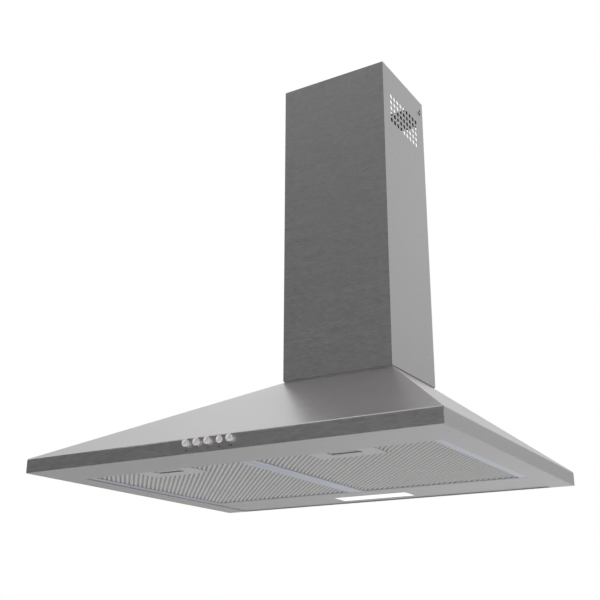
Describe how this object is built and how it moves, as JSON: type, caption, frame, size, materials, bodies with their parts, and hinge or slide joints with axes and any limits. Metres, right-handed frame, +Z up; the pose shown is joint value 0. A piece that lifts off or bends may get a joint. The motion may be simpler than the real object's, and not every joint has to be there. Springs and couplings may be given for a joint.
{
  "type": "chimney range hood",
  "caption": "Wall-mounted chimney range hood: pyramid canopy, hinged mesh filters, push buttons, lamp and centrifugal blower.",
  "frame": {"origin": "middle of the lower rear edge, in the wall plane at the height of the underside", "axes": "+Z up, +Y into the wall, +X to the right of someone who faces the hood"},
  "size_m": [0.6, 0.4762, 0.6905],
  "materials": {
    "stainless": "brushed stainless steel sheet",
    "galvanised": "galvanised steel sheet",
    "bracket_paint": "black powder coat, satin",
    "screw_steel": "zinc-plated steel",
    "black_plastic": "moulded, satin",
    "motor_core": "varnished windings and laminated steel",
    "white_plastic": "moulded, satin",
    "lead_sleeve": "extruded cable sleeve",
    "opal_lens": "opal, lightly frosted",
    "button_plastic": "moulded, semi-gloss",
    "filter_aluminium": "mill finish",
    "latch_plastic": "moulded, light grey"
  },
  "bodies": {
    "hood": {"canopy_shell": "stainless", "canopy_collar": "stainless", "underside_frame": "stainless", "lamp_panel": "stainless", "chimney_cover": "stainless", "back_panel": "galvanised", "blower_plate": "galvanised", "switch_bracket": "galvanised", "electrics_box": "galvanised", "electrics_cover": "galvanised", "motor_spider": "galvanised", "motor_can": "galvanised", "motor_end_cap": "galvanised", "scroll_left": "galvanised", "scroll_right": "galvanised", "chimney_bracket": "bracket_paint", "cover_screws": "screw_steel", "plate_screws": "screw_steel", "scroll_screws": "screw_steel", "adapter_screws": "screw_steel", "lamp_screws": "screw_steel", "damper_rod": "screw_steel", "motor_bearings": "screw_steel", "inlet_rings": "black_plastic", "outlet_adapter": "black_plastic", "cable_gland": "black_plastic", "lead_clips": "black_plastic", "led_driver": "black_plastic", "switch_block": "black_plastic", "motor_stator": "motor_core", "terminal_block": "white_plastic", "capacitor": "white_plastic", "lamp_housing": "white_plastic", "led_board": "white_plastic", "switch_lead": "lead_sleeve", "lamp_lead": "lead_sleeve", "motor_lead": "lead_sleeve", "lamp_lens": "opal_lens"},
    "impeller": {"motor_shaft": "screw_steel", "motor_rotor": "motor_core", "fan_wheel": "galvanised", "fan_blades": "galvanised", "fan_nut": "screw_steel"},
    "flap_front": {"damper_flap_front": "black_plastic"},
    "flap_rear": {"damper_flap_rear": "black_plastic"},
    "filter_left": {"filter_frame_left": "filter_aluminium", "filter_mesh_left": "filter_aluminium", "latch_housing_left": "latch_plastic", "latch_springs_left": "screw_steel"},
    "filter_right": {"filter_frame_right": "filter_aluminium", "filter_mesh_right": "filter_aluminium", "latch_housing_right": "latch_plastic", "latch_springs_right": "screw_steel"},
    "latch_left": {"latch_slide_left": "latch_plastic"},
    "latch_right": {"latch_slide_right": "latch_plastic"},
    "button_1_body": {"button_1": "button_plastic"},
    "button_2_body": {"button_2": "button_plastic"},
    "button_3_body": {"button_3": "button_plastic"},
    "button_4_body": {"button_4": "button_plastic"},
    "button_5_body": {"button_5": "button_plastic"}
  },
  "joints": [
    {"name": "fan_spin", "type": "hinge", "parent": "hood", "child": "impeller", "pos_m": [0, -0.074, 0.092], "axis": [1, 0, 0], "continuous": true},
    {"name": "damper_front_swing", "type": "hinge", "parent": "hood", "child": "flap_front", "pos_m": [0, -0.08, 0.2197], "axis": [-1, 0, 0], "range_deg": [0, 75]},
    {"name": "damper_rear_swing", "type": "hinge", "parent": "hood", "child": "flap_rear", "pos_m": [0, -0.08, 0.2197], "axis": [1, 0, 0], "range_deg": [0, 75]},
    {"name": "button_1_press", "type": "slide", "parent": "hood", "child": "button_1_body", "axis": [0, 1, 0], "range_m": [0, 0.003], "stiffness_N_per_m": 400, "springref_m": -0.002},
    {"name": "button_2_press", "type": "slide", "parent": "hood", "child": "button_2_body", "axis": [0, 1, 0], "range_m": [0, 0.003], "stiffness_N_per_m": 400, "springref_m": -0.002},
    {"name": "button_3_press", "type": "slide", "parent": "hood", "child": "button_3_body", "axis": [0, 1, 0], "range_m": [0, 0.003], "stiffness_N_per_m": 400, "springref_m": -0.002},
    {"name": "button_4_press", "type": "slide", "parent": "hood", "child": "button_4_body", "axis": [0, 1, 0], "range_m": [-0.003, 0]},
    {"name": "button_5_press", "type": "slide", "parent": "hood", "child": "button_5_body", "axis": [0, 1, 0], "range_m": [0, 0.003], "stiffness_N_per_m": 400, "springref_m": -0.002},
    {"name": "filter_left_swing", "type": "hinge", "parent": "hood", "child": "filter_left", "pos_m": [0, -0.0956, 0.0012], "axis": [1, 0, 0], "range_deg": [0, 75]},
    {"name": "latch_left_slide", "type": "slide", "parent": "filter_left", "child": "latch_left", "axis": [0, 1, 0], "range_m": [0, 0.006], "stiffness_N_per_m": 300, "springref_m": -0.006, "deforming": ["latch_springs_left"]},
    {"name": "filter_right_swing", "type": "hinge", "parent": "hood", "child": "filter_right", "pos_m": [0, -0.0956, 0.0012], "axis": [1, 0, 0], "range_deg": [0, 75]},
    {"name": "latch_right_slide", "type": "slide", "parent": "filter_right", "child": "latch_right", "axis": [0, 1, 0], "range_m": [0, 0.006], "stiffness_N_per_m": 300, "springref_m": -0.006, "deforming": ["latch_springs_right"]}
  ]
}
